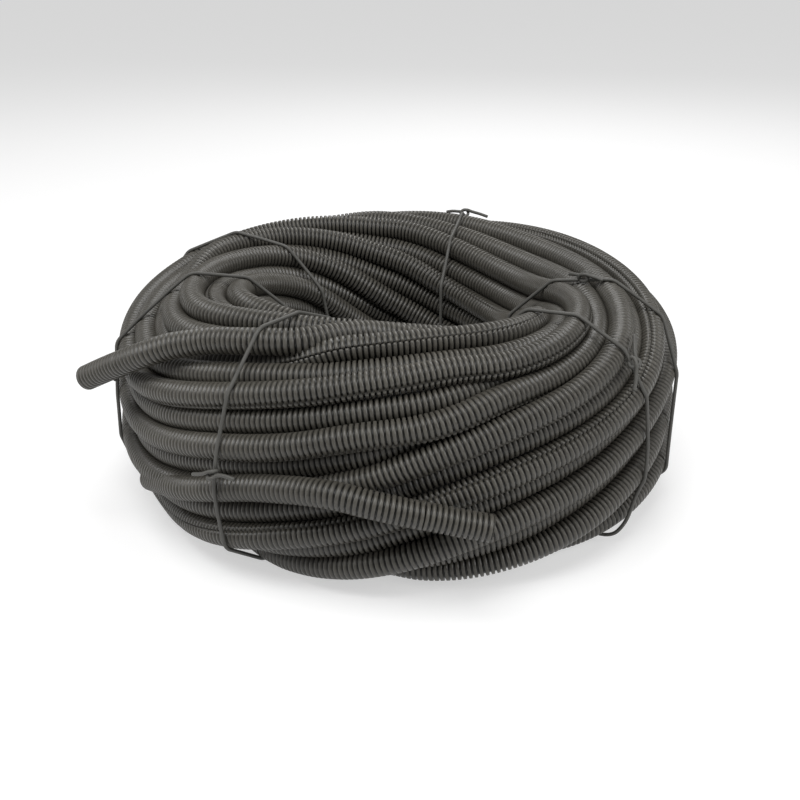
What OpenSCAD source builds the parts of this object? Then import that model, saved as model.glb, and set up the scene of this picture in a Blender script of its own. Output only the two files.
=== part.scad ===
// Slit corrugated conduit, wound as a flat-lying coil and held by six string ties.
// The coil lies on the floor, z up, with its axis on the z axis and the ties' undersides at z = 0.

/* [Conduit] */
// Outside diameter over the ridges
od = 20; // [16:0.5:25]
// Clear bore of the free ends
bore_d = 14.4; // [11:0.1:15]
// Distance from one ridge to the next
ridge_pitch = 4; // [3:0.1:6]
// Depth of the grooves between the ridges
groove_depth = 2.1; // [1:0.1:2.4]
// Width of the slit along the conduit
slit_w = 0.8; // [0.4:0.1:2]

/* [Coil] */
// Outside diameter of the coil
coil_d = 480; // [440:1:540]
// Diameter of the coil's eye at its narrowest
eye_d = 172; // [140:1:200]
// Height of the coil above the strings it lies on
coil_h = 184; // [150:1:240]
// Radius of the coil's lower corners
bottom_r = 45; // [30:1:60]
// Distance between neighbouring outer turns
turn_spacing = 19.3; // [15:0.1:24]
// How far every second turn sits back between its neighbours
set_back = 6; // [0:0.5:8]

/* [Free ends] */
// Length of the straight stretch at each free end
tip_l = 84; // [60:4:120]
// Depth of the open bore in each free end
bore_l = 48; // [20:1:56]
// Height of the front end's root
front_z = 92; // [70:1:110]
// Direction of the front end's tip, from +x towards +y
front_heading = 0; // [-6:1:3]
// Slope of the front end's tip, downwards
front_drop = 12; // [0:1:14]
// Direction of the left end's tip, from +x towards +y
left_heading = 147; // [140:1:152]
// Slope of the left end's tip, downwards
left_drop = 28; // [20:1:32]

/* [Ties] */
// Diameter of the string
string_d = 3; // [2:0.1:4]
// Clearance between the string and the conduit
string_gap = 0.3; // [0.2:0.05:0.6]
// Length of the knots' tails
tail_l = 19; // [10:1:30]

/* [Hidden] */

// Where each tie goes round the coil, and how far up its outline the knot sits, in degrees
// from the level of the outer side: 0 is the outer side, 90 the top
ties = [[-119, 2], [-169, 0], [148, 15], [66, 95], [-19, 98], [-44, 52]];

// Waypoints of the free ends: azimuth, lean from the outer side (0) to the top (90), and
// lift off the outer layer in tube diameters
front_way = [[-124, 0, -0.15], [-115, 0, 0.05], [-104, 0, 0.72], [-94, 0, 1.05]];
left_way = [[-114, 62, -0.2], [-123, 56, -0.05], [-132, 47, 0.7], [-141, 38, 1.05]];

facets = 96;
string_r = string_d / 2;
knot_r = 0.75 * string_d;
z0 = string_d + string_gap;
z1 = z0 + coil_h;
r_out = coil_d / 2;
r_in = eye_d / 2;
half_w = (r_out - r_in) / 2;
r_mid = r_out - half_w;
corner_r = min(bottom_r, half_w);
side_l = coil_h - half_w - corner_r;
floor_l = 2 * (half_w - corner_r);

// The coil's outline in the r-z plane, moved outwards by o, runs from the foot of the outer
// side up, over the fully rounded top, down the inner side and back along the floor
function bend(r, part) = PI * r * part / 180;
function outline_l(o) = 2 * side_l + bend(half_w + o, 180) + bend(corner_r + o, 180) + floor_l;
function on_arc(c, r, a) = [c[0] + r * cos(a), c[1] + r * sin(a)];
function top_c() = [r_mid, z1 - half_w];
function foot_c(side) = [r_mid + side * (half_w - corner_r), z0 + corner_r];
function outline(s, o, leg = 0) =
    let (legs = [side_l, bend(half_w + o, 180), side_l, bend(corner_r + o, 90), floor_l,
                 bend(corner_r + o, 90)])
    leg < 5 && s > legs[leg] ? outline(s - legs[leg], o, leg + 1) :
    leg == 0 ? [r_out + o, z0 + corner_r + s] :
    leg == 1 ? on_arc(top_c(), half_w + o, 180 * s / legs[1]) :
    leg == 2 ? [r_in - o, z1 - half_w - s] :
    leg == 3 ? on_arc(foot_c(-1), corner_r + o, 180 + 90 * s / legs[3]) :
    leg == 4 ? [r_mid - (half_w - corner_r) + s, z0 - o] :
    on_arc(foot_c(1), corner_r + o, 270 + 90 * s / legs[5]);

// Outer layer of turns: equal steps along the outline, every second turn set back
layer_l = outline_l(-od / 2);
layer_n = ceil(layer_l / turn_spacing);
function turn_at(i) = outline(i * outline_l(-od / 2 - i % 2 * set_back) / layer_n,
                              -od / 2 - i % 2 * set_back);
layer = [for (i = [0:layer_n - 1]) turn_at(i)];

function turned(p, az) = [p[0] * cos(az), p[0] * sin(az), p[1]];
function front_at(w) = turned([r_out - od / 2 + w[2] * od, front_z], w[0]);
function left_at(w) = turned(on_arc(top_c(), half_w - od / 2 + w[2] * od, w[1]), w[0]);
function aim(heading, drop) =
    [cos(heading) * cos(drop), sin(heading) * cos(drop), -sin(drop)];
front_path = [for (w = front_way) front_at(w)];
left_path = [for (w = left_way) left_at(w)];

groove_r = od / 2 - groove_depth;
root_inset = 0.5;
ball_over = 0.3;
cut_over = 1;

// One ridge as radius and height points, from the middle of one groove to the next
function ridge(z, p) =
    [[groove_r, z + 0.14 * p], [od / 2 - 0.4, z + 0.24 * p], [od / 2, z + 0.34 * p],
     [od / 2, z + 0.66 * p], [od / 2 - 0.4, z + 0.76 * p], [groove_r, z + 0.86 * p]];

module aligned(a, b) {
    v = b - a;
    translate(a)
        rotate([0, acos(v[2] / norm(v)), atan2(v[1], v[0])])
            children();
}

// A straight stretch of corrugated conduit from a to b, with a whole number of ridges
module corrugated(a, b) {
    l = norm(b - a);
    n = max(1, round(l / ridge_pitch));
    p = l / n;
    aligned(a, b)
        rotate_extrude($fn = facets)
            polygon(concat(
                [[0, 0], [groove_r, 0]],
                [for (i = [0:n - 1], q = ridge(i * p, p)) q],
                [[groove_r, l], [0, l]]));
}

// A free end: plain where it leaves the outer layer, then the straight corrugated tip
module free_end(path, dir) {
    last = path[len(path) - 1];
    root_r = od / 2 - root_inset;
    for (i = [0:len(path) - 2])
        aligned(path[i], path[i + 1])
            cylinder(r = root_r, h = norm(path[i + 1] - path[i]), $fn = facets);
    for (i = [1:len(path) - 1])
        translate(path[i])
            sphere(root_r + ball_over, $fn = facets);
    corrugated(last, last + tip_l * dir);
}

// The open bore of a tip, and its slit on the side that turn points to
module tip_cut(path, dir, turn) {
    mouth = path[len(path) - 1] + tip_l * dir;
    aligned(mouth - bore_l * dir, mouth)
        union() {
            cylinder(d = bore_d, h = bore_l + cut_over, $fn = facets);
            rotate([0, 0, turn])
                translate([0, -slit_w / 2, 0])
                    cube([od / 2 + cut_over, slit_w, bore_l + cut_over]);
        }
}

module conduit() {
    front_dir = aim(front_heading, front_drop);
    left_dir = aim(left_heading, left_drop);
    color([0.28, 0.28, 0.26])
        difference() {
            union() {
                rotate_extrude($fn = 2 * facets)
                    union() {
                        polygon(layer);
                        for (c = layer)
                            translate(c)
                                circle(d = od, $fn = facets);
                    }
                free_end(front_path, front_dir);
                free_end(left_path, left_dir);
            }
            tip_cut(front_path, front_dir, -60);
            tip_cut(left_path, left_dir, -40);
        }
}

// A stretch of string from a to b in the r-z plane
module strand(a, b) {
    v = b - a;
    translate([a[0], a[1], 0])
        rotate([0, 0, atan2(v[1], v[0])])
            rotate([0, 90, 0])
                cylinder(r = string_r, h = norm(v), $fn = 32);
}

// A bend of string about the centre c in the r-z plane
module string_bend(c, r, from, part) {
    translate([c[0], c[1], 0])
        rotate([0, 0, from])
            rotate_extrude(angle = part, $fn = facets)
                translate([r, 0])
                    circle(string_r, $fn = 32);
}

// The knot: two turns of string round the strand and two cut tails
module knot() {
    for (side = [-1, 1]) {
        translate([side * 0.7 * string_d, 0, 0])
            rotate([0, 90, 0])
                rotate_extrude($fn = 48)
                    translate([knot_r, 0])
                        circle(string_r, $fn = 32);
        rotate([0, 0, side * 62])
            rotate([side * 12, 90, 0])
                cylinder(r = string_r, h = tail_l, $fn = 32);
    }
}

// One tie: a taut loop round the coil's section, drawn in the r-z plane and turned to az
module tie(az, knot_lean) {
    o = string_gap + string_r;
    knot_p = on_arc(top_c(), half_w + o + knot_r, knot_lean);
    color([0.33, 0.33, 0.31])
        rotate([90, 0, az])
            union() {
                strand([r_out + o, z0 + corner_r], [r_out + o, z1 - half_w]);
                string_bend(top_c(), half_w + o, 0, 180);
                strand([r_in - o, z1 - half_w], [r_in - o, z0 + corner_r]);
                string_bend(foot_c(-1), corner_r + o, 180, 90);
                strand([r_mid - half_w + corner_r, z0 - o], [r_mid + half_w - corner_r, z0 - o]);
                string_bend(foot_c(1), corner_r + o, 270, 90);
                translate([knot_p[0], knot_p[1], 0])
                    rotate([0, 0, knot_lean + 90])
                        rotate([90, 0, 0])
                            knot();
            }
}

module tie_1() tie(ties[0][0], ties[0][1]);
module tie_2() tie(ties[1][0], ties[1][1]);
module tie_3() tie(ties[2][0], ties[2][1]);
module tie_4() tie(ties[3][0], ties[3][1]);
module tie_5() tie(ties[4][0], ties[4][1]);
module tie_6() tie(ties[5][0], ties[5][1]);

conduit();
tie_1();
tie_2();
tie_3();
tie_4();
tie_5();
tie_6();
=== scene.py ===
"""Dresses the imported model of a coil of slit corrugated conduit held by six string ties."""

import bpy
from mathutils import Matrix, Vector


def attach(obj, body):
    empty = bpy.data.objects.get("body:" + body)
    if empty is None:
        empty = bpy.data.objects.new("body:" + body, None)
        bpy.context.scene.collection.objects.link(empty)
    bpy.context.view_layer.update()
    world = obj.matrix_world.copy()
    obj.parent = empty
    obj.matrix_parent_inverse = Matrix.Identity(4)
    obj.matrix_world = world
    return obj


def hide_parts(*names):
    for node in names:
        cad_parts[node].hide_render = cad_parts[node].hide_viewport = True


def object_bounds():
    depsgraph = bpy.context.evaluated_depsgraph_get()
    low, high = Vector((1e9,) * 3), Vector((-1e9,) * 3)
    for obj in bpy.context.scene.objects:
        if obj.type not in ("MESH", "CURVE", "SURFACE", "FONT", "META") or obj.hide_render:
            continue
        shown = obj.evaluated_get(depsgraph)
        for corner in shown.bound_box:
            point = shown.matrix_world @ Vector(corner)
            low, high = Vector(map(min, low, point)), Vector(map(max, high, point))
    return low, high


bl_info = {
    "name": "Corrugated conduit coil",
    "version": (1, 0, 0),
    "blender": (4, 5, 0),
    "location": "View3D > Sidebar > Conduit coil",
    "description": "Turns, free ends and ties of a coil of slit corrugated conduit",
    "category": "Add Mesh",
}

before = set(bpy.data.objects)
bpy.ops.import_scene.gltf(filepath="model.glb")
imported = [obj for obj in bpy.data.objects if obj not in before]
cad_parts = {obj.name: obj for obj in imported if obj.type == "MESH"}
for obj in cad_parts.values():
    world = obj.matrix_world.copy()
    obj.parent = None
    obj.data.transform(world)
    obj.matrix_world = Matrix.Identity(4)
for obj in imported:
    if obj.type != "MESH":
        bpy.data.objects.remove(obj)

import math

import bpy
import numpy as np
from mathutils import Vector

CAD_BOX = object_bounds()
BODY = "root"
STRING_GAP = 0.0003         # between the string and the conduit, as in the solids
LAYER_LIFT = -0.0004        # where the proud turns' middles lie off the layer's line
HIGHEST, LOWEST = 0.0012, -0.0090   # how far relaxing may lift or sink a turn that shows
SUNK = 0.016                # how far a turn dives where another takes its place
SUNK_UNDER_END = 0.019      # how far the turn under the front free end dives
ROUNDS = 90                 # rounds of pushing neighbours apart
SMOOTH_EVERY = 10           # rounds between two smoothings
CLOSEST = 0.985             # nearest that neighbours lie, in conduit diameters
SHARPEST = 20               # waves round the coil above which a turn is smoothed
RIDGE_RINGS = (0.11, 0.25, 0.75, 0.89)      # groove, crest, crest, groove, in pitches
SLIT_DEPTH = 0.0012         # how far the slit goes in below the grooves
EDGE_SLIP = 0.45            # how far the slit's two edges have slipped, in pitches
OPEN_DEPTH = 0.048          # depth of the hollow in each free end
GROUPS = 9                  # pieces that the outer turns are shared out over


class ConduitSizes(bpy.types.PropertyGroup):
    """Sizes of the conduit and of the way it is wound"""
    tube_d: bpy.props.FloatProperty(
        name="Conduit diameter", description="Outer diameter over the ridges",
        default=0.020, unit="LENGTH")
    pitch: bpy.props.FloatProperty(
        name="Ridge pitch", description="From one ridge to the next", default=0.004, unit="LENGTH")
    groove: bpy.props.FloatProperty(
        name="Groove depth", description="From crest to groove", default=0.0021, unit="LENGTH")
    wall: bpy.props.FloatProperty(
        name="Wall", description="Thickness of the conduit's wall", default=0.0007, unit="LENGTH")
    slit: bpy.props.FloatProperty(
        name="Slit width", description="Width of the lengthwise slit", default=0.0009,
        unit="LENGTH")
    coil_d: bpy.props.FloatProperty(
        name="Coil diameter", description="Across the outside of the coil", default=0.480,
        unit="LENGTH")
    eye_d: bpy.props.FloatProperty(
        name="Eye diameter", description="Across the open middle", default=0.172, unit="LENGTH")
    coil_h: bpy.props.FloatProperty(
        name="Coil height", description="From the ties' top side on the floor to the crest",
        default=0.184, unit="LENGTH")
    bottom_r: bpy.props.FloatProperty(
        name="Bottom radius", description="Rounding of the coil's lower edges", default=0.045,
        unit="LENGTH")
    turns: bpy.props.IntProperty(
        name="Turns shown", description="Turns side by side round the coil's section", default=27)
    first: bpy.props.FloatProperty(
        name="First turn", description="Height of the middle turn up the section's outer side",
        default=0.063, unit="LENGTH")
    drift: bpy.props.FloatProperty(
        name="Drift", description="How far a turn wanders round the section each way",
        default=0.077, unit="LENGTH")
    drift_az: bpy.props.FloatProperty(
        name="Drift azimuth", description="Where a turn has wandered furthest over the top",
        default=math.radians(28), subtype="ANGLE")
    wander: bpy.props.FloatProperty(
        name="Wander", description="Unevenness of each turn by itself", default=0.0013,
        unit="LENGTH")
    set_back: bpy.props.FloatProperty(
        name="Set back", description="How far every second turn sits back", default=0.0062,
        unit="LENGTH")
    eye_widening: bpy.props.FloatProperty(
        name="Eye widening", description="How much wider the eye is at its front right",
        default=0.030, unit="LENGTH")


class TieSizes(bpy.types.PropertyGroup):
    """Sizes of the string ties"""
    string_d: bpy.props.FloatProperty(
        name="String diameter", description="Diameter of the string", default=0.003,
        unit="LENGTH")


class CoilLook(bpy.types.PropertyGroup):
    """Colours and gloss of the coil, with the painted shade for its grooves"""
    crest: bpy.props.FloatVectorProperty(
        name="Crest colour", description="Colour of the ridges", subtype="COLOR",
        default=(0.074, 0.069, 0.058))
    # the groove colour is painted shade: far darker than the plastic, it darkens the grooves, the
    # slit, the bore and the hidden turns
    groove: bpy.props.FloatVectorProperty(
        name="Groove colour", description="Colour between the ridges", subtype="COLOR",
        default=(0.0085, 0.0083, 0.0074))
    string: bpy.props.FloatVectorProperty(
        name="String colour", description="Colour of the ties", subtype="COLOR",
        default=(0.085, 0.083, 0.075))
    rough: bpy.props.FloatProperty(
        name="Roughness", description="Roughness of the conduit", default=0.36, subtype="FACTOR")


def sizes():
    return bpy.context.scene.conduit_sizes


def tie_sizes():
    return bpy.context.scene.tie_sizes


def unit(v):
    """Vectors over their own length, along the last axis."""
    return v / np.linalg.norm(v, axis=-1, keepdims=True)


def bump(az, centre, width):
    """A bell over azimuths: exp of minus the square of the angle from centre over width."""
    off = (np.degrees(az) - centre + 180) % 360 - 180
    return np.exp(-(off / width) ** 2)


def smooth_step(x, lo, hi):
    """0 below lo, 1 above hi, and 3t^2 - 2t^3 between."""
    t = np.clip((x - lo) / (hi - lo), 0.0, 1.0)
    return t * t * (3.0 - 2.0 * t)


def between(az, rise_from, rise_to, fall_from, fall_to):
    """Over azimuths in degrees: 0, smoothly up to 1, and smoothly down to 0 again."""
    deg = np.degrees(az)
    return smooth_step(deg, rise_from, rise_to) * (1 - smooth_step(deg, fall_from, fall_to))


# ---------------------------------------------------------------- the coil's section

class Section:
    """The line through the centres of the outer turns, in the plane of radius and height.

    It runs from the foot of the outer side up, over the round top, down the inner side and back
    along the floor. Its length is two sides, half a circle, two quarter circles and a floor.
    The eye is wider towards its front right, where the section is slimmer.
    """

    def __init__(self):
        p = sizes()
        half = p.tube_d / 2
        self.r_out = p.coil_d / 2 - half
        self.r_in = p.eye_d / 2 + half
        self.z_low = CAD_BOX[0][2] + tie_sizes().string_d + STRING_GAP + half
        self.z_crest = self.z_low + p.coil_h - p.tube_d
        self.foot_r = p.bottom_r - half

    def shape(self, az):
        """Radius and centre of the round top at an azimuth, and the lengths of the six legs."""
        r_in = self.r_in + sizes().eye_widening * bump(az, -50, 30)
        top_r = (self.r_out - r_in) / 2
        side = self.z_crest - top_r - self.z_low - self.foot_r
        foot = math.pi / 2 * self.foot_r + 0 * top_r
        return top_r, self.r_out - top_r, self.z_crest - top_r, (
            side, math.pi * top_r, side, foot, 2 * (top_r - self.foot_r), foot)

    def length(self, az):
        return sum(self.shape(az)[3])

    def at(self, s, lift, az):
        """Radius, height and outward normal at the length s along the line, moved out by lift."""
        top_r, r_mid, z_top, legs = self.shape(az)
        t = np.mod(s, sum(legs))
        leg = np.zeros(t.shape, int)
        for number, leg_l in enumerate(legs[:-1]):
            past = (leg == number) & (t >= leg_l)
            t = np.where(past, t - leg_l, t)
            leg = np.where(past, number + 1, leg)
        on = [leg == number for number in range(6)]
        full, none = math.pi, 0 * t
        turn = np.select(on, [none, t / top_r, none + full, full + t / self.foot_r,
                              none + 1.5 * full, 1.5 * full + t / self.foot_r])
        n_r, n_z = np.cos(turn), np.sin(turn)
        z_foot = self.z_low + self.foot_r
        foot_in = r_mid - top_r + self.foot_r
        foot_out = self.r_out - self.foot_r
        c_r = np.select(on, [none + r_mid, none + r_mid, none + r_mid, none + foot_in,
                             foot_in + t, none + foot_out])
        c_z = np.select(on, [z_foot + t, none + z_top, z_top - t, none + z_foot, none + z_foot,
                             none + z_foot])
        arm = np.where(leg <= 2, top_r + none, self.foot_r + none) + lift
        return c_r + arm * n_r, c_z + arm * n_z, n_r, n_z


# ---------------------------------------------------------------- the turns' places

class Layer:
    """Where each outer turn runs: its length along the section and its lift, by azimuth.

    Turn m of the layer lies at first + m * step + drift * cos(azimuth - drift_az), so that each
    turn is a circle set a little off centre and tilted. Neighbours are then pushed apart until
    none is nearer than a diameter, which leaves every other turn standing proud.
    """

    samples = 720

    def __init__(self):
        p = sizes()
        self.section = Section()
        self.az = np.linspace(-math.pi, math.pi, self.samples, endpoint=False)
        self.m = np.arange(p.turns) - p.turns // 2
        step = float(self.section.length(np.array(math.pi / 2))) / p.turns
        drift = self.drift(self.az) - self.drift(np.array(math.radians(-120)))
        self.s = p.first + self.m[:, None] * step + drift[None, :]
        back = np.where(self.m % 2 == 0, 0.0, 1.0)[:, None]
        self.lift = LAYER_LIFT - back * p.set_back + 0 * self.s
        self.wander(p.wander)
        self.make_room(step)
        self.relax(p.tube_d)

    def drift(self, az):
        """The wander that all turns share: one wave round the coil and two local dips."""
        p = sizes()
        return (p.drift * np.cos(az - p.drift_az) - 0.019 * bump(az, -152, 16)
                - 0.012 * bump(az, -48, 22))

    def wander(self, size):
        """Adds a few slow sine waves round the coil to each turn's place and lift."""
        rng = np.random.default_rng(7)
        for wave in range(2, 6):
            for target, share in ((self.s, 1.0), (self.lift, 0.5)):
                amp = rng.normal(0, size * share / math.sqrt(wave), len(self.m))
                phase = rng.uniform(0, 2 * math.pi, len(self.m))
                target += amp[:, None] * np.cos(wave * self.az[None, :] + phase[:, None])

    def make_room(self, step):
        """Sinks the turns that the free ends leave or cover, and closes their neighbours up."""
        m, az = self.m[:, None], self.az[None, :]
        # turn -1 dives where the front free end has left the layer, and those below move up
        right = between(az, -100, -80, 140, 175)
        self.lift -= (m == -1) * SUNK * right
        self.s += step * right * np.clip(1 - (-2 - m) / 8, 0, 1) * (m <= -2)
        # turn 1 dives on the right, where the section is slimmer, and those above move down
        slim = between(az, -84, -56, 60, 120)
        lost = float(self.section.length(np.array(math.pi / 2))) - self.section.length(az)
        self.lift -= (m == 1) * SUNK * slim
        self.s -= 0.4 * step * slim * (m == 0)
        close = 1.3 * step * slim
        self.s -= (close + (lost - close) * (m - 2) / 11) * (m >= 2)
        # turn -2 leaves as the front end and comes up again from under it
        self.lift -= (m == -2) * SUNK_UNDER_END * between(az, -126, -118, -106, -97)
        # turn 4 leaves as the left end
        self.lift -= (m == 4) * SUNK * np.maximum(
            smooth_step(-np.degrees(az), 100, 112), smooth_step(np.degrees(az), 150, 175))

    def relax(self, d):
        """Moves neighbours apart, in the section's plane, to a diameter over their slope."""
        sec = self.section
        az = self.az[None, :]
        shown = smooth_step(self.lift, -0.0135, -0.0095)
        floor = np.minimum(self.lift, LOWEST)
        tilt = -sizes().drift * np.sin(az - sizes().drift_az)
        for number in range(ROUNDS):
            r, z, n_r, n_z = sec.at(self.s, self.lift, az)
            need = CLOSEST * d * np.sqrt(1 + (tilt / r) ** 2)
            for gap in (1, 2):
                dr = np.roll(r, -gap, 0) - r
                dz = np.roll(z, -gap, 0) - z
                dist = np.hypot(dr, dz)
                both = shown * np.roll(shown, -gap, 0)
                push = both * np.clip(need - dist, 0, None) * 0.25
                along = push * (dz * n_r - dr * n_z) / dist
                out = push * (dr * n_r + dz * n_z) / dist
                self.s += np.roll(along, gap, 0) - along
                self.lift += np.roll(out, gap, 0) - out
            self.lift = np.clip(self.lift, floor, HIGHEST)
            if number % SMOOTH_EVERY == SMOOTH_EVERY - 1:
                self.s, self.lift = self.smoothed(self.s), self.smoothed(self.lift)
            low = sec.at(self.s, self.lift, az)[1]
            self.lift -= np.clip(sec.z_low - low, 0, None) * np.clip(-n_z, 0, 1)

    def smoothed(self, rows):
        """Each row with its waves above SHARPEST to the round faded out."""
        waves = np.fft.rfftfreq(self.samples, 1 / self.samples)
        return np.fft.irfft(np.fft.rfft(rows, axis=1) * np.exp(-(waves / SHARPEST) ** 2), axis=1,
                            n=self.samples)

    def place(self, az, s, lift):
        """Points and outward normals at azimuths, section lengths and lifts."""
        r, z, n_r, n_z = self.section.at(s, lift, az)
        cos, sin = np.cos(az), np.sin(az)
        return (np.stack([r * cos, r * sin, z], -1),
                np.stack([n_r * cos, n_r * sin, n_z], -1))

    def curve(self, row):
        """Points and outward normals of one turn, closed, at the layer's azimuths."""
        return self.place(self.az, self.s[row], self.lift[row])

    def turns_at(self, az):
        """Radius and height of every turn at one azimuth each."""
        grid = np.append(self.az, math.pi)
        at = np.array([(np.interp(a, grid, np.append(s, s[0])),
                        np.interp(a, grid, np.append(h, h[0])))
                       for a, s, h in zip(az, self.s, self.lift)])
        return self.section.at(at[:, 0], at[:, 1], az)[:2]


# ---------------------------------------------------------------- sweeping a profile

def spline(points, per_leg=24):
    """A smooth curve through points: on each leg the cubic whose end slopes are half of the
    step from the point before to the point after."""
    p = np.asarray(points, float)
    ext = np.concatenate([2 * p[:1] - p[1:2], p, 2 * p[-1:] - p[-2:-1]])
    t = np.linspace(0, 1, per_leg, endpoint=False)[None, :, None]
    p0, p1, p2, p3 = (ext[i:len(ext) - 3 + i][:, None, :] for i in range(4))
    c = 0.5 * (2 * p1 + (p2 - p0) * t + (2 * p0 - 5 * p1 + 4 * p2 - p3) * t ** 2
               + (3 * p1 - p0 - 3 * p2 + p3) * t ** 3)
    return np.concatenate([c.reshape(-1, p.shape[1]), p[-1:]])


def lengths(curve):
    """The length along a curve at each of its points."""
    return np.concatenate([[0.0], np.cumsum(np.linalg.norm(np.diff(curve, axis=0), axis=1))])


def carried(curve, normal, stations, closed=False):
    """Places, tangents, normals and side vectors at lengths along a curve."""
    if closed:
        curve = np.concatenate([curve, curve[:1]])
        normal = np.concatenate([normal, normal[:1]])
    along = lengths(curve)
    take = lambda a, q: np.stack([np.interp(q, along, a[:, i]) for i in range(3)], -1)
    eps = 0.0015
    total = along[-1]
    if closed:
        fore, back = np.mod(stations + eps, total), np.mod(stations - eps, total)
        stations = np.mod(stations, total)
    else:
        fore, back = np.minimum(stations + eps, total), np.maximum(stations - eps, 0)
    place = take(curve, stations)
    tangent = unit(take(curve, fore) - take(curve, back))
    out = take(normal, stations)
    out = unit(out - (out * tangent).sum(-1, keepdims=True) * tangent)
    return place, tangent, out, np.cross(tangent, out)


def ridge_stations(length, pitch):
    """Lengths of the four rings of each ridge, and 1 on the crest and 0 in the groove."""
    n = max(1, int(round(length / pitch)))
    p = length / n
    part = np.array(RIDGE_RINGS)
    st = ((np.arange(n)[:, None] + part[None, :]) * p).ravel()
    crest = np.tile([0.0, 1.0, 1.0, 0.0], n)
    return st, crest


def grid_quads(rows, cols, wrap_rows, wrap_cols=True, start=0):
    """Corner numbers of the faces of a rows by cols grid of points. They face away from the
    middle where the columns turn round the rows' way forward, as a right-handed screw does."""
    i = np.arange(rows if wrap_rows else rows - 1)[:, None]
    j = np.arange(cols if wrap_cols else cols - 1)[None, :]
    i2, j2 = (i + 1) % rows, (j + 1) % cols
    a, b = i * cols + j, i2 * cols + j
    c, d = i2 * cols + j2, i * cols + j2
    return start + np.stack([a + 0 * b, d, c, b], -1).reshape(-1, 4)


def fan(ring, centre):
    """Triangles from a ring of corner numbers to one centre, facing back along its screw."""
    nxt = np.roll(ring, -1)
    return np.stack([nxt, ring, np.full_like(ring, centre)], -1)


def ring_angles():
    """Fourteen angles round a turn, closer together on the side that shows."""
    half = np.radians([20, 41, 63, 87, 115, 149])
    return np.concatenate([[0.0], half, [math.pi], 2 * math.pi - half[::-1]])


def slit_angles(at, width, base):
    """The base angles with a narrow notch let in at one angle: angles, and 1 at its bottom."""
    extra = np.array([at - width, at, at + width])
    keep = base[np.abs((base - at + math.pi) % (2 * math.pi) - math.pi) > 2.2 * width]
    ang = np.concatenate([keep % (2 * math.pi), extra % (2 * math.pi)])
    deep = np.concatenate([0 * keep, [0.0, 1.0, 0.0]])
    order = np.argsort(ang)
    return ang[order], deep[order]


def swept(curve, normal, closed, slit_at=None, base=None, phase=0.0):
    """Corrugated tube along a curve: points = place + radius * (cos a * normal + sin a * side),
    where the radius steps between crest and groove along the length, and drops to the bore at
    the slit. Beyond the slit the ridges are half a pitch behind, as the edges have slipped."""
    p = sizes()
    crest_r = p.tube_d / 2
    total = lengths(np.concatenate([curve, curve[:1]]) if closed else curve)[-1]
    st, crest = ridge_stations(total, p.pitch)
    base = ring_angles() if base is None else base
    if slit_at is None:
        ang, deep = base, 0 * base
        slip = 0 * base
    else:
        ang, deep = slit_angles(slit_at, p.slit / p.tube_d, base)
        slip = EDGE_SLIP * p.pitch * (((ang - slit_at) % (2 * math.pi)) / (2 * math.pi) - 0.5)
        slip[deep > 0] = 0
    place, tangent, out, side = carried(curve, normal, st + phase, closed)
    rad = crest_r - p.groove * (1 - crest)[:, None] + 0 * ang[None, :]
    rad = np.where(deep[None, :] > 0, crest_r - p.groove - SLIT_DEPTH, rad)
    verts = (place[:, None, :] + slip[None, :, None] * tangent[:, None, :]
             + rad[..., None] * (np.cos(ang)[None, :, None] * out[:, None, :]
                                 + np.sin(ang)[None, :, None] * side[:, None, :]))
    # shade is 1 on the crests and 0 in the grooves and at the slit's bottom, where the material
    # paints shade
    shade = crest[:, None] * (1 - deep)[None, :] + 0 * rad
    n_r, n_c = rad.shape
    quads = grid_quads(n_r, n_c, closed)
    verts = verts.reshape(-1, 3)
    shade = shade.ravel()
    tris = np.zeros((0, 3), int)
    if not closed:
        ends = np.stack([place[0], place[-1]])
        tris = np.concatenate([
            fan(np.arange(n_c), len(verts)),
            fan(((n_r - 1) * n_c + np.arange(n_c))[::-1], len(verts) + 1)])
        verts = np.concatenate([verts, ends])
        # the caps' centres take the painted groove shade, darkening the ends towards the middle
        shade = np.concatenate([shade, [0.0, 0.0]])
    return verts, quads, tris, shade


def plain_tube(curve, normal, radius, closed, step, sides=10):
    """Smooth tube along a curve: points = place + radius * (cos a * normal + sin a * side)."""
    total = lengths(np.concatenate([curve, curve[:1]]) if closed else curve)[-1]
    count = max(3, int(round(total / step)))
    stations = np.linspace(0, total, count, endpoint=not closed)
    place, _, out, side = carried(curve, normal, stations, closed)
    ang = np.linspace(0, 2 * math.pi, sides, endpoint=False)
    verts = (place[:, None, :] + radius * (np.cos(ang)[None, :, None] * out[:, None, :]
                                           + np.sin(ang)[None, :, None] * side[:, None, :]))
    verts = verts.reshape(-1, 3)
    quads = grid_quads(count, sides, closed)
    tris = np.zeros((0, 3), int)
    if not closed:
        ends = np.arange(sides)
        tris = np.concatenate([fan(ends, len(verts)),
                               fan(((count - 1) * sides + ends)[::-1], len(verts) + 1)])
        verts = np.concatenate([verts, place[:1], place[-1:]])
    return verts, quads, tris, np.ones(len(verts))


def joined(parts):
    """Several (points, quads, triangles, shade) as one."""
    shift, v, q, t, c = 0, [], [], [], []
    for verts, quads, tris, shade in parts:
        v.append(verts)
        q.append(quads + shift)
        t.append(tris + shift)
        c.append(shade)
        shift += len(verts)
    return np.concatenate(v), np.concatenate(q), np.concatenate(t), np.concatenate(c)


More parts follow.
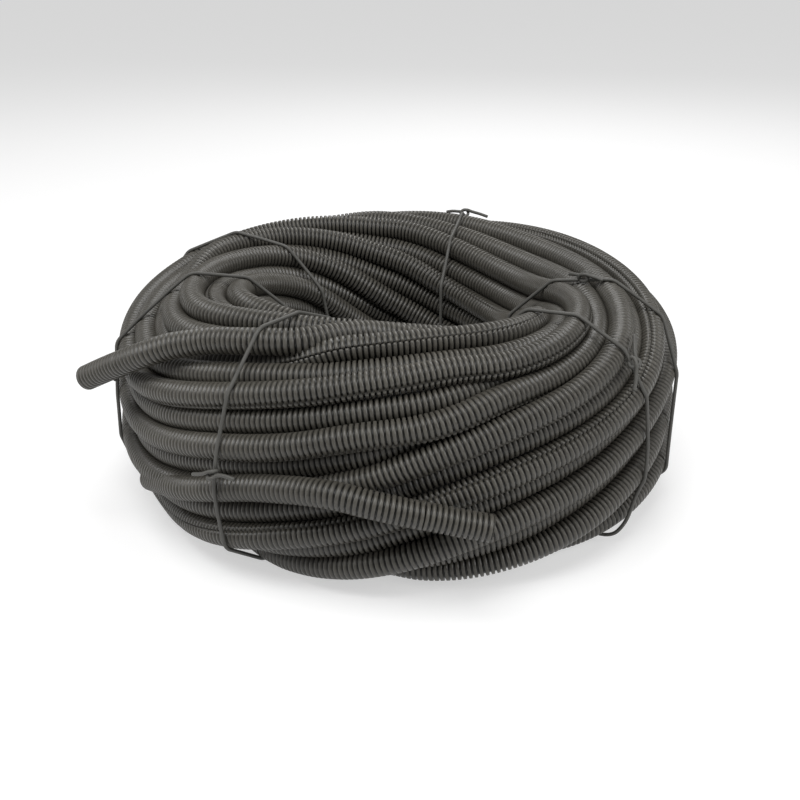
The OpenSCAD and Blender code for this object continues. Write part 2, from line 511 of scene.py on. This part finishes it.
def new_piece(name, part, material, replaces=()):
    """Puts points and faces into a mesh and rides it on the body."""
    verts, quads, tris, shade = part
    mesh = bpy.data.meshes.new(name)
    mesh.vertices.add(len(verts))
    mesh.vertices.foreach_set("co", verts.astype(np.float32).ravel())
    corners = np.concatenate([quads.ravel(), tris.ravel()]).astype(np.int32)
    count = len(quads) + len(tris)
    start = np.concatenate([np.arange(len(quads)) * 4, len(quads) * 4 + np.arange(len(tris)) * 3])
    mesh.loops.add(len(corners))
    mesh.loops.foreach_set("vertex_index", corners)
    mesh.polygons.add(count)
    mesh.polygons.foreach_set("loop_start", start.astype(np.int32))
    mesh.polygons.foreach_set("use_smooth", np.ones(count, bool))
    mesh.update(calc_edges=True)
    mesh.validate()
    # the crest attribute: 1 on crests, 0 where the conduit material paints groove shade
    crest = mesh.attributes.new("crest", "FLOAT", "POINT")
    crest.data.foreach_set("value", shade.astype(np.float32))
    mesh.materials.append(material)
    piece = bpy.data.objects.new(name, mesh)
    bpy.context.scene.collection.objects.link(piece)
    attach(piece, BODY)
    if replaces:
        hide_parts(*replaces)
    return piece


# ---------------------------------------------------------------- materials

def shader(name):
    """A new material's node tree, its shader, and a short way to add and link nodes."""
    mat = bpy.data.materials.new(name)
    mat.use_nodes = True
    tree = mat.node_tree
    bsdf = tree.nodes["Principled BSDF"]

    def add(kind, **values):
        node = tree.nodes.new(kind)
        for key, value in values.items():
            if key in node.inputs:
                node.inputs[key].default_value = value
            else:
                setattr(node, key, value)
        return node
    return mat, tree, bsdf, add


def conduit_plastic():
    """Charcoal polythene: crests in the plastic's colour, painted shade in the grooves, faint dust
    and fine grain.
    """
    look = bpy.context.scene.coil_look
    mat, tree, bsdf, add = shader("conduit_polythene")
    link = tree.links.new
    place = add("ShaderNodeTexCoord")
    crest = add("ShaderNodeAttribute", attribute_name="crest")
    cloud = add("ShaderNodeTexNoise", Scale=9.0, Detail=3.0)
    dust = add("ShaderNodeTexNoise", Scale=260.0, Detail=4.0, Roughness=0.7)
    grain = add("ShaderNodeTexNoise", Scale=1400.0, Detail=2.0)
    for node in (cloud, dust, grain):
        link(place.outputs["Object"], node.inputs["Vector"])
    # mix from the painted groove shade to the crest colour by the crest attribute
    tint = add("ShaderNodeMix", data_type="RGBA")
    tint.inputs[6].default_value = (*look.groove, 1)
    tint.inputs[7].default_value = (*look.crest, 1)
    link(crest.outputs["Fac"], tint.inputs[0])
    patch = add("ShaderNodeMapRange")
    patch.inputs["From Min"].default_value = 0.3
    patch.inputs["From Max"].default_value = 0.7
    patch.inputs["To Min"].default_value = 0.82
    patch.inputs["To Max"].default_value = 1.22
    link(cloud.outputs["Fac"], patch.inputs["Value"])
    speck = add("ShaderNodeMapRange")
    speck.inputs["From Min"].default_value = 0.35
    speck.inputs["From Max"].default_value = 0.75
    speck.inputs["To Min"].default_value = 0.88
    speck.inputs["To Max"].default_value = 1.22
    link(dust.outputs["Fac"], speck.inputs["Value"])
    both = add("ShaderNodeMath", operation="MULTIPLY")
    link(patch.outputs["Result"], both.inputs[0])
    link(speck.outputs["Result"], both.inputs[1])
    shade = add("ShaderNodeVectorMath", operation="SCALE")
    link(tint.outputs[2], shade.inputs[0])
    link(both.outputs["Value"], shade.inputs["Scale"])
    link(shade.outputs["Vector"], bsdf.inputs["Base Color"])
    gloss = add("ShaderNodeMapRange")
    gloss.inputs["From Min"].default_value = 0.3
    gloss.inputs["From Max"].default_value = 0.7
    gloss.inputs["To Min"].default_value = look.rough - 0.06
    gloss.inputs["To Max"].default_value = look.rough + 0.10
    link(dust.outputs["Fac"], gloss.inputs["Value"])
    link(gloss.outputs["Result"], bsdf.inputs["Roughness"])
    relief = add("ShaderNodeBump", Strength=0.12, Distance=0.0003)
    link(grain.outputs["Fac"], relief.inputs["Height"])
    link(relief.outputs["Normal"], bsdf.inputs["Normal"])
    return mat


def string_plastic():
    """Grey string with a slight twist and worn, paler patches."""
    look = bpy.context.scene.coil_look
    mat, tree, bsdf, add = shader("tie_string")
    link = tree.links.new
    place = add("ShaderNodeTexCoord")
    fibre = add("ShaderNodeTexNoise", Scale=700.0, Detail=3.0)
    worn = add("ShaderNodeTexNoise", Scale=60.0, Detail=2.0)
    for node in (fibre, worn):
        link(place.outputs["Object"], node.inputs["Vector"])
    tint = add("ShaderNodeMix", data_type="RGBA")
    tint.inputs[6].default_value = (*[0.72 * c for c in look.string], 1)
    tint.inputs[7].default_value = (*[1.25 * c for c in look.string], 1)
    link(worn.outputs["Fac"], tint.inputs[0])
    link(tint.outputs[2], bsdf.inputs["Base Color"])
    bsdf.inputs["Roughness"].default_value = 0.55
    relief = add("ShaderNodeBump", Strength=0.3, Distance=0.0003)
    link(fibre.outputs["Fac"], relief.inputs["Height"])
    link(relief.outputs["Normal"], bsdf.inputs["Normal"])
    return mat


def material(name, make):
    return bpy.data.materials.get(name) or make()


def conduit_material():
    return material("conduit_polythene", conduit_plastic)


def string_material():
    return material("tie_string", string_plastic)


# ---------------------------------------------------------------- the routes

SHARED = {}


def layer():
    """The outer layer, worked out once."""
    if "layer" not in SHARED:
        SHARED["layer"] = Layer()
    return SHARED["layer"]


# Turns with their slit on the side that shows: turn number and the slit's angle in degrees
SLIT_TURNS = {0: 62, 2: 66, -2: 56, 4: 50, -4: -64, 7: 40, 9: -52, -6: 48}

# The two free ends: points from inside the coil to the mouth, in millimetres
FRONT_END = [
    (-197, -123, 45), (-165, -165, 60), (-142, -186, 70), (-123, -200, 78), (-103, -212, 85),
    (-81, -225, 91), (-60, -236, 95), (-40, -244, 96), (-18, -249, 92.5), (5, -250.5, 87.5),
    (28, -250.5, 82.5), (48, -250.4, 78), (65, -250.4, 74.5)]
LEFT_END = [
    (20, -136, 166), (-8, -142, 174), (-34, -154, 179), (-69, -170, 180), (-103, -166, 178.5),
    (-133, -156, 175), (-152, -151, 171), (-167, -147, 167), (-184, -142, 160),
    (-204, -131, 149), (-224, -118, 137), (-243, -106, 125)]


def outwards(points):
    """Directions from the middle of the coil's section through each point."""
    sec = layer().section
    r = np.hypot(points[:, 0], points[:, 1])
    top_r, r_mid, z_top, _ = sec.shape(np.arctan2(points[:, 1], points[:, 0]))
    foot = np.stack([points[:, 0] / r * r_mid, points[:, 1] / r * r_mid,
                     np.minimum(points[:, 2], z_top)], -1)
    return unit(points - foot)


def route(points):
    return spline(np.array(points) / 1000)


# Each tie: its azimuth, how far its outer side is turned from that, where its knot sits up the
# section, the knot's turn about the string, all in degrees, and the lengths of its tails
TIE_PLACES = {
    "tie_1": (-118.5, -3.5, 22, 8, 1.0, 1.0),
    "tie_2": (-168, 4, 32, 0, 0.6, 0.6),
    "tie_3": (149, 13, 30, 0, 0.8, 0.8),
    "tie_4": (67.5, 7, 80, -10, 1.15, 0.9),
    "tie_5": (-17, -5, 94, 60, 0.75, 0.75),
    "tie_6": (-47.5, 10, 59, 35, 1.0, 1.15),
}
# A knot's run in string diameters: across the string, along it, and out from the coil
KNOT = [(-6.8, -1.5, -0.1), (-4.6, -0.9, 0.6), (-2.4, -0.2, 1.1), (-0.9, 0.5, 1.5),
        (0.5, 0.9, 1.2), (1.05, 0.8, 0.0), (0.4, 0.5, -0.5), (-0.8, 0.1, -0.4),
        (-1.15, -0.3, 0.5), (-0.6, -0.8, 1.5), (0.5, -0.8, 1.7), (1.2, -0.3, 1.0),
        (2.3, 0.2, 0.9), (4.4, 0.3, 0.9), (6.8, -0.1, 0.6)]


# Where a tie hangs off the coil: how far, its middle and its half width up the section
SLACK = {"tie_6": (0.005, -42, 13)}


def tie_loop(name):
    """The taut loop of a tie: for each direction u round the section the point c + R * u, where
    c is the turn's centre furthest along u and R its radius and the string's. The loop leans
    to one side by turned_by * cos(angle up the section)."""
    rows = layer()
    sec = rows.section
    azimuth, turned_by = TIE_PLACES[name][:2]
    mid, lean = math.radians(azimuth), math.radians(turned_by)
    _, r_mid, z_top, _ = sec.shape(np.array(mid))
    z_mid = (z_top + sec.z_low) / 2
    az = np.full(len(rows.m), mid)
    for _ in range(3):
        r, z = rows.turns_at(az)
        az = mid + lean * np.cos(np.arctan2(z - z_mid, r - r_mid))
    centres = [np.stack([r, z], -1)]
    for end in (FRONT_END, LEFT_END):
        c = route(end)
        off = np.abs((np.arctan2(c[:, 1], c[:, 0]) - mid + math.pi) % (2 * math.pi) - math.pi)
        near = off < math.radians(4)
        if near.any():
            at = np.argmin(np.where(near, off, 9))
            centres.append(np.array([[np.hypot(c[at, 0], c[at, 1]), c[at, 2]]]))
    centres = np.concatenate(centres)
    radius = sizes().tube_d / 2 + 0.45 * tie_sizes().string_d
    ang = np.linspace(0, 2 * math.pi, 540, endpoint=False)
    u = np.stack([np.cos(ang), np.sin(ang)], -1)
    edge = centres[np.argmax(u @ centres.T, axis=1)] + radius * u
    edge[:, 1] = np.maximum(edge[:, 1], CAD_BOX[0][2] + 0.0005 + tie_sizes().string_d / 2)
    loop = np.concatenate([edge, edge[:1]])
    along = lengths(loop)
    even = np.linspace(0, along[-1], 360, endpoint=False)
    r = np.interp(even, along, loop[:, 0])
    z = np.interp(even, along, loop[:, 1])
    up = np.arctan2(z - z_mid, r - r_mid)
    if name in SLACK:
        most, middle, width = SLACK[name]
        slack = most * np.exp(-((np.degrees(up) - middle) / width) ** 2)
        r, z = r + slack * np.cos(up), z + slack * np.sin(up)
    az = mid + lean * np.cos(up)
    points = np.stack([r * np.cos(az), r * np.sin(az), z], -1)
    normal = np.stack([np.cos(up) * np.cos(az), np.cos(up) * np.sin(az), np.sin(up)], -1)
    return points, normal, np.degrees(up)


def tie_part(name):
    """A tie's loop, and its knot laid round the string with two cut tails."""
    knot_at, knot_turn, tail_a, tail_b = TIE_PLACES[name][2:]
    points, normal, up = tie_loop(name)
    string = tie_sizes().string_d
    at = int(np.argmin(np.abs(up - knot_at)))
    along = unit(np.roll(points, -3, 0)[at] - np.roll(points, 3, 0)[at])
    out = unit(normal[at] - (normal[at] @ along) * along)
    across = np.cross(along, out)
    run = np.array(KNOT)
    run[:3, 0] = -1.2 + (run[:3, 0] + 1.2) * tail_a
    run[-3:, 0] = 1.2 + (run[-3:, 0] - 1.2) * tail_b
    turn = math.radians(knot_turn)
    x = run[:, 0] * math.cos(turn) - run[:, 1] * math.sin(turn)
    y = run[:, 0] * math.sin(turn) + run[:, 1] * math.cos(turn)
    knot = points[at] + string * (x[:, None] * across + y[:, None] * along
                                  + (run[:, 2] + 0.25)[:, None] * out)
    knot = spline(knot, 8)
    guide = np.broadcast_to(unit(out + 0.4 * across + 0.3 * along), knot.shape)
    return joined([plain_tube(points, normal, string / 2, True, 0.0022),
                   plain_tube(knot, guide, string / 2, False, 0.0009)])


def hollow_end(curve, normal, slit_at, depth):
    """The last stretch of a free end: a thin corrugated wall, open at the slit and the mouth.
    Its section is a C of the outer angles and, back again, of the inner ones."""
    p = sizes()
    total = lengths(curve)[-1]
    st, crest = ridge_stations(depth, p.pitch)
    st = np.concatenate([st, [depth]])
    crest = np.concatenate([crest, [1.0]])
    gap = p.slit / p.tube_d
    ang = slit_at + np.linspace(gap, 2 * math.pi - gap, 27)
    place, tangent, out, side = carried(curve, normal, total - depth + st)
    outer = p.tube_d / 2 - p.groove * (1 - crest)[:, None] + 0 * ang[None, :]
    inner = outer - p.wall
    rad = np.concatenate([outer, inner[:, ::-1]], 1)
    angles = np.concatenate([ang, ang[::-1]])
    verts = (place[:, None, :] + rad[..., None] * (
        np.cos(angles)[None, :, None] * out[:, None, :]
        + np.sin(angles)[None, :, None] * side[:, None, :]))
    n_r, n_c = rad.shape
    quads = grid_quads(n_r, n_c, False)
    half = n_c // 2
    j = np.arange(half - 1)
    lip = np.stack([j, n_c - 1 - j, n_c - 2 - j, j + 1], -1)
    last = (n_r - 1) * n_c
    quads = np.concatenate([quads, lip, last + lip[:, ::-1]])
    # the inner wall is all 0, so the bore takes the painted groove shade
    shade = np.concatenate([crest[:, None] + 0 * outer, 0 * inner], 1).ravel()
    return verts.reshape(-1, 3), quads, np.zeros((0, 3), int), shade


def free_end(curve, slit_at, depth=OPEN_DEPTH):
    """A whole free end: solid where it lies in the coil, then hollow to its open mouth."""
    normal = outwards(curve)
    total = lengths(curve)[-1]
    keep = lengths(curve) < total - depth
    cut = np.concatenate([curve[keep], carried(curve, normal, np.array([total - depth]))[0]])
    base = np.linspace(0, 2 * math.pi, 24, endpoint=False)
    root = swept(cut, outwards(cut), False, slit_at, base)
    return joined([root, hollow_end(curve, normal, slit_at, depth)])


# ---------------------------------------------------------------- operators

class CONDUIT_OT_turns(bpy.types.Operator):
    """Lay the outer turns of the coil"""
    bl_idname = "conduit.turns"
    bl_label = "Outer turns"

    def execute(self, context):
        rows = layer()
        mat = conduit_material()
        groups = np.array_split(np.arange(len(rows.m)), GROUPS)
        for number, group in enumerate(groups, 1):
            parts = []
            for row in group:
                slit = SLIT_TURNS.get(int(rows.m[row]))
                parts.append(swept(*rows.curve(row), True,
                                   None if slit is None else math.radians(slit)))
            new_piece(f"turns_{number}", joined(parts), mat,
                      ("conduit",) if number == 1 else ())
        return {"FINISHED"}


class CONDUIT_OT_core(bpy.types.Operator):
    """Fill the coil behind its outer turns with plain turns in the painted groove shade"""
    bl_idname = "conduit.core"
    bl_label = "Hidden turns"

    def execute(self, context):
        sec = layer().section
        az = np.linspace(-math.pi, math.pi, 144, endpoint=False)[:, None]
        s = np.linspace(0, 1, 96, endpoint=False)[None, :] * sec.length(az)
        r, z, _, _ = sec.at(s, -sizes().tube_d * 0.85, az)
        verts = np.stack([r * np.cos(az), r * np.sin(az), z], -1).reshape(-1, 3)
        quads = grid_quads(az.size, s.shape[1], True)[:, ::-1]
        # shade 0 all over: the whole core takes the painted groove shade
        new_piece("hidden_turns", (verts, quads, np.zeros((0, 3), int), np.zeros(len(verts))),
                  conduit_material())
        return {"FINISHED"}


class CONDUIT_OT_free_ends(bpy.types.Operator):
    """Lead the conduit's two ends out of the coil"""
    bl_idname = "conduit.free_ends"
    bl_label = "Free ends"

    def execute(self, context):
        mat = conduit_material()
        new_piece("front_end", free_end(route(FRONT_END), math.radians(52)), mat)
        new_piece("left_end", free_end(route(LEFT_END), math.radians(100)), mat)
        return {"FINISHED"}


class CONDUIT_OT_ties(bpy.types.Operator):
    """Tie the coil with string"""
    bl_idname = "conduit.ties"
    bl_label = "Ties"

    def execute(self, context):
        mat = string_material()
        for name in TIE_PLACES:
            new_piece(f"string_{name}", tie_part(name), mat, (name,))
        return {"FINISHED"}


FLOOR_HALF, FLOOR_DROP = 9.0, 0.0004
FLOOR_GLOW = 0.52           # what the camera and reflections see of the floor, added to its light
WORLD_LIGHT = 0.34
# The lamps: name, place, diameter and power
LAMPS = (("key", (-0.25, -0.75, 1.9), 1.3, 26.0), ("right", (1.7, -0.9, 1.1), 1.2, 13.0),
         ("left", (-1.8, -0.3, 1.0), 1.2, 7.0), ("back", (0.3, 1.5, 1.5), 1.2, 13.0))
CAMERA_UP, CAMERA_AWAY = math.radians(23.9), 0.958
CAMERA_LENS, CAMERA_SENSOR, CAMERA_SHIFT = 47.925, 36.0, -0.00625


class CONDUIT_OT_stage(bpy.types.Operator):
    """Set the floor, the light and the camera"""
    bl_idname = "conduit.stage"
    bl_label = "Stage"

    def execute(self, context):
        scene = context.scene
        floor_z = CAD_BOX[0][2] - FLOOR_DROP
        mesh = bpy.data.meshes.new("floor")
        w = FLOOR_HALF
        mesh.from_pydata([(-w, -w, floor_z), (w, -w, floor_z), (w, w, floor_z), (-w, w, floor_z)],
                         [], [(0, 1, 2, 3)])
        floor = bpy.data.objects.new("floor", mesh)
        scene.collection.objects.link(floor)
        mat = bpy.data.materials.new("pale_floor")
        mat.use_nodes = True
        tree = mat.node_tree
        tree.nodes.clear()
        out = tree.nodes.new("ShaderNodeOutputMaterial")
        add = tree.nodes.new("ShaderNodeAddShader")
        diffuse = tree.nodes.new("ShaderNodeBsdfDiffuse")
        diffuse.inputs["Color"].default_value = (0.55, 0.55, 0.55, 1)
        glow = tree.nodes.new("ShaderNodeEmission")
        path = tree.nodes.new("ShaderNodeLightPath")
        both = tree.nodes.new("ShaderNodeMath")
        both.operation = "MAXIMUM"
        half = tree.nodes.new("ShaderNodeMath")
        half.operation = "MULTIPLY"
        half.inputs[1].default_value = FLOOR_GLOW
        tree.links.new(path.outputs["Is Camera Ray"], both.inputs[0])
        tree.links.new(path.outputs["Is Glossy Ray"], both.inputs[1])
        tree.links.new(both.outputs[0], half.inputs[0])
        tree.links.new(half.outputs[0], glow.inputs["Strength"])
        tree.links.new(diffuse.outputs[0], add.inputs[0])
        tree.links.new(glow.outputs[0], add.inputs[1])
        tree.links.new(add.outputs[0], out.inputs["Surface"])
        mesh.materials.append(mat)

        world = scene.world or bpy.data.worlds.new("studio")
        scene.world = world
        world.use_nodes = True
        tree = world.node_tree
        tree.nodes.clear()
        out = tree.nodes.new("ShaderNodeOutputWorld")
        back = tree.nodes.new("ShaderNodeBackground")
        path = tree.nodes.new("ShaderNodeLightPath")
        level = tree.nodes.new("ShaderNodeMapRange")
        level.inputs["To Min"].default_value = WORLD_LIGHT
        level.inputs["To Max"].default_value = 1.0
        tree.links.new(path.outputs["Is Camera Ray"], level.inputs["Value"])
        tree.links.new(level.outputs["Result"], back.inputs["Strength"])
        tree.links.new(back.outputs[0], out.inputs["Surface"])

        middle = Vector((0, 0, 0.09))
        for name, place, size, power in LAMPS:
            lamp = bpy.data.lights.new(name, "AREA")
            lamp.shape = "DISK"
            lamp.size = size
            lamp.energy = power
            obj = bpy.data.objects.new(name, lamp)
            obj.location = place
            obj.rotation_euler = (middle - obj.location).to_track_quat("-Z", "Y").to_euler()
            scene.collection.objects.link(obj)

        sight = Vector((0.0025, 0, 0.063))
        cam = bpy.data.cameras.new("camera")
        cam.lens = CAMERA_LENS
        cam.sensor_width = CAMERA_SENSOR
        cam.shift_y = CAMERA_SHIFT
        eye = bpy.data.objects.new("camera", cam)
        eye.location = sight + CAMERA_AWAY * Vector((0, -math.cos(CAMERA_UP), math.sin(CAMERA_UP)))
        eye.rotation_euler = (sight - eye.location).to_track_quat("-Z", "Y").to_euler()
        scene.collection.objects.link(eye)
        scene.camera = eye
        scene.view_settings.view_transform = "Standard"
        return {"FINISHED"}


class CONDUIT_PT_panel(bpy.types.Panel):
    """The coil's pieces in the sidebar"""
    bl_idname = "CONDUIT_PT_panel"
    bl_label = "Conduit coil"
    bl_space_type = "VIEW_3D"
    bl_region_type = "UI"
    bl_category = "Conduit coil"

    def draw(self, context):
        for cls in OPERATORS:
            self.layout.operator(cls.bl_idname)


OPERATORS = (CONDUIT_OT_turns, CONDUIT_OT_core, CONDUIT_OT_free_ends, CONDUIT_OT_ties,
             CONDUIT_OT_stage)
CLASSES = (ConduitSizes, TieSizes, CoilLook) + OPERATORS + (CONDUIT_PT_panel,)


def register():
    for cls in CLASSES:
        bpy.utils.register_class(cls)
    bpy.types.Scene.conduit_sizes = bpy.props.PointerProperty(type=ConduitSizes)
    bpy.types.Scene.tie_sizes = bpy.props.PointerProperty(type=TieSizes)
    bpy.types.Scene.coil_look = bpy.props.PointerProperty(type=CoilLook)


def unregister():
    del bpy.types.Scene.conduit_sizes, bpy.types.Scene.tie_sizes, bpy.types.Scene.coil_look
    for cls in reversed(CLASSES):
        bpy.utils.unregister_class(cls)


def main():
    register()
    bpy.ops.conduit.stage()
    bpy.ops.conduit.turns()
    bpy.ops.conduit.core()
    bpy.ops.conduit.free_ends()
    bpy.ops.conduit.ties()


if __name__ == "__main__":
    main()
